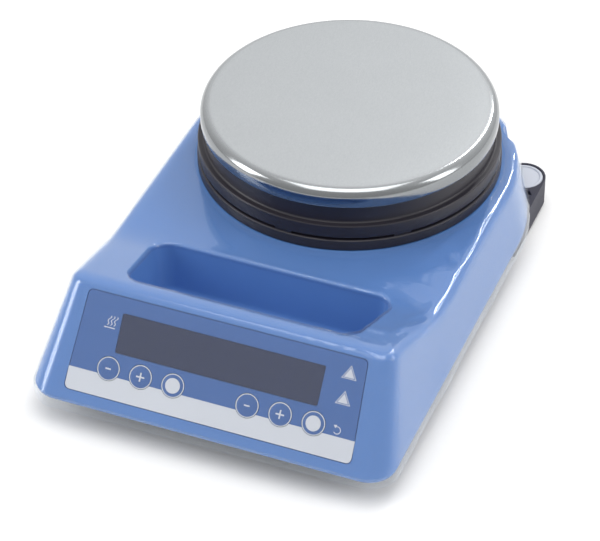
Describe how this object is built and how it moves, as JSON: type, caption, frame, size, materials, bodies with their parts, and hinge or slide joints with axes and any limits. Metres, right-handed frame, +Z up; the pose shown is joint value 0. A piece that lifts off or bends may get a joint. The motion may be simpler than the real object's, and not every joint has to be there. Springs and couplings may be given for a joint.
{
  "type": "magnetic stirrer",
  "caption": "Heated magnetic stirrer: round steel plate on a dark collar, moulded housing with inclined key panel, grip trough, rod bracket and clear lift-off cover.",
  "frame": {"origin": "on the table under the middle of the whole object, between the feet", "axes": "+Z up, the control panel faces -Y, the rod bracket stands out at +X +Y"},
  "size_m": [0.1688, 0.2522, 0.074],
  "materials": {
    "housing_blue": "gloss",
    "clear_film": "gloss",
    "steel": "satin",
    "anthracite": "satin",
    "foil_blue": "satin",
    "window": "gloss",
    "key_blue": "satin",
    "key_white": "satin",
    "bracket_grey": "satin",
    "cap_grey": "satin",
    "base_grey": "satin",
    "rubber": "matte",
    "zinc": "satin",
    "aluminium": "satin",
    "ceramic_wool": "matte",
    "board_green": "satin",
    "black_plastic": "satin",
    "magnet": "satin",
    "copper": "satin",
    "sleeve_red": "matte"
  },
  "bodies": {
    "base": {"housing_shell": "housing_blue", "heating_plate": "steel", "collar_drum": "anthracite", "collar_base_ring": "anthracite", "panel_foil": "foil_blue", "display_window": "window", "rod_bracket": "bracket_grey", "base_plate": "base_grey", "foot_front_left": "rubber", "foot_front_right": "rubber", "foot_rear_left": "rubber", "foot_rear_right": "rubber", "base_screw_front_left": "zinc", "base_screw_front_right": "zinc", "base_screw_rear_left": "zinc", "base_screw_rear_right": "zinc", "bracket_screw_front": "zinc", "bracket_screw_rear": "zinc", "heater_body": "aluminium", "heating_element": "zinc", "insulation_disc": "ceramic_wool", "temperature_sensor": "copper", "motor_mount": "zinc", "motor_case": "black_plastic", "bearing_lower": "zinc", "bearing_upper": "zinc", "control_board": "board_green", "display_module": "black_plastic", "power_board": "board_green", "transformer": "black_plastic", "capacitor": "black_plastic", "heat_sink": "aluminium", "rear_panel": "base_grey", "mains_inlet": "black_plastic", "switch_frame": "black_plastic", "sensor_socket": "black_plastic", "panel_ribbon": "sleeve_red", "heater_lead": "sleeve_red", "motor_lead": "copper", "mains_lead": "black_plastic", "switch_heat_minus": "black_plastic", "switch_heat_plus": "black_plastic", "switch_heat_on": "black_plastic", "switch_stir_minus": "black_plastic", "switch_stir_plus": "black_plastic", "switch_stir_on": "black_plastic"},
    "stirring_drive": {"motor_rotor": "zinc", "magnet_carrier": "aluminium", "magnet_north": "magnet", "magnet_south": "magnet"},
    "rocker": {"mains_rocker": "black_plastic"},
    "cap": {"rod_cap": "cap_grey"},
    "cover": {"protective_cover": "clear_film"},
    "key_heat_minus_body": {"key_heat_minus": "key_blue"},
    "key_heat_plus_body": {"key_heat_plus": "key_blue"},
    "key_heat_on_body": {"key_heat_on": "key_white"},
    "key_stir_minus_body": {"key_stir_minus": "key_blue"},
    "key_stir_plus_body": {"key_stir_plus": "key_blue"},
    "key_stir_on_body": {"key_stir_on": "key_white"}
  },
  "joints": [
    {"name": "stir_spin", "type": "hinge", "parent": "base", "child": "stirring_drive", "pos_m": [0, 0.04692, 0.03], "axis": [0, 0, 1], "continuous": true},
    {"name": "key_heat_minus_press", "type": "slide", "parent": "base", "child": "key_heat_minus_body", "axis": [0, 0.8049, -0.5934], "range_m": [0, 0.0006], "stiffness_N_per_m": 600},
    {"name": "key_heat_plus_press", "type": "slide", "parent": "base", "child": "key_heat_plus_body", "axis": [0, 0.8049, -0.5934], "range_m": [0, 0.0006], "stiffness_N_per_m": 600},
    {"name": "key_heat_on_press", "type": "slide", "parent": "base", "child": "key_heat_on_body", "axis": [0, 0.8049, -0.5934], "range_m": [0, 0.0006], "stiffness_N_per_m": 600},
    {"name": "key_stir_minus_press", "type": "slide", "parent": "base", "child": "key_stir_minus_body", "axis": [0, 0.8049, -0.5934], "range_m": [0, 0.0006], "stiffness_N_per_m": 600},
    {"name": "key_stir_plus_press", "type": "slide", "parent": "base", "child": "key_stir_plus_body", "axis": [0, 0.8049, -0.5934], "range_m": [0, 0.0006], "stiffness_N_per_m": 600},
    {"name": "key_stir_on_press", "type": "slide", "parent": "base", "child": "key_stir_on_body", "axis": [0, 0.8049, -0.5934], "range_m": [0, 0.0006], "stiffness_N_per_m": 600},
    {"name": "rocker_tilt", "type": "hinge", "parent": "base", "child": "rocker", "pos_m": [0.012, 0.10682, 0.024], "axis": [1, 0, 0], "range_deg": [-18, 0]},
    {"name": "cap_pull", "type": "slide", "parent": "base", "child": "cap", "axis": [0, 0, 1], "range_m": [0, 0.012]},
    {"name": "cover_lift", "type": "slide", "parent": "base", "child": "cover", "axis": [0, 0, 1], "range_m": [0, 0.075]}
  ]
}
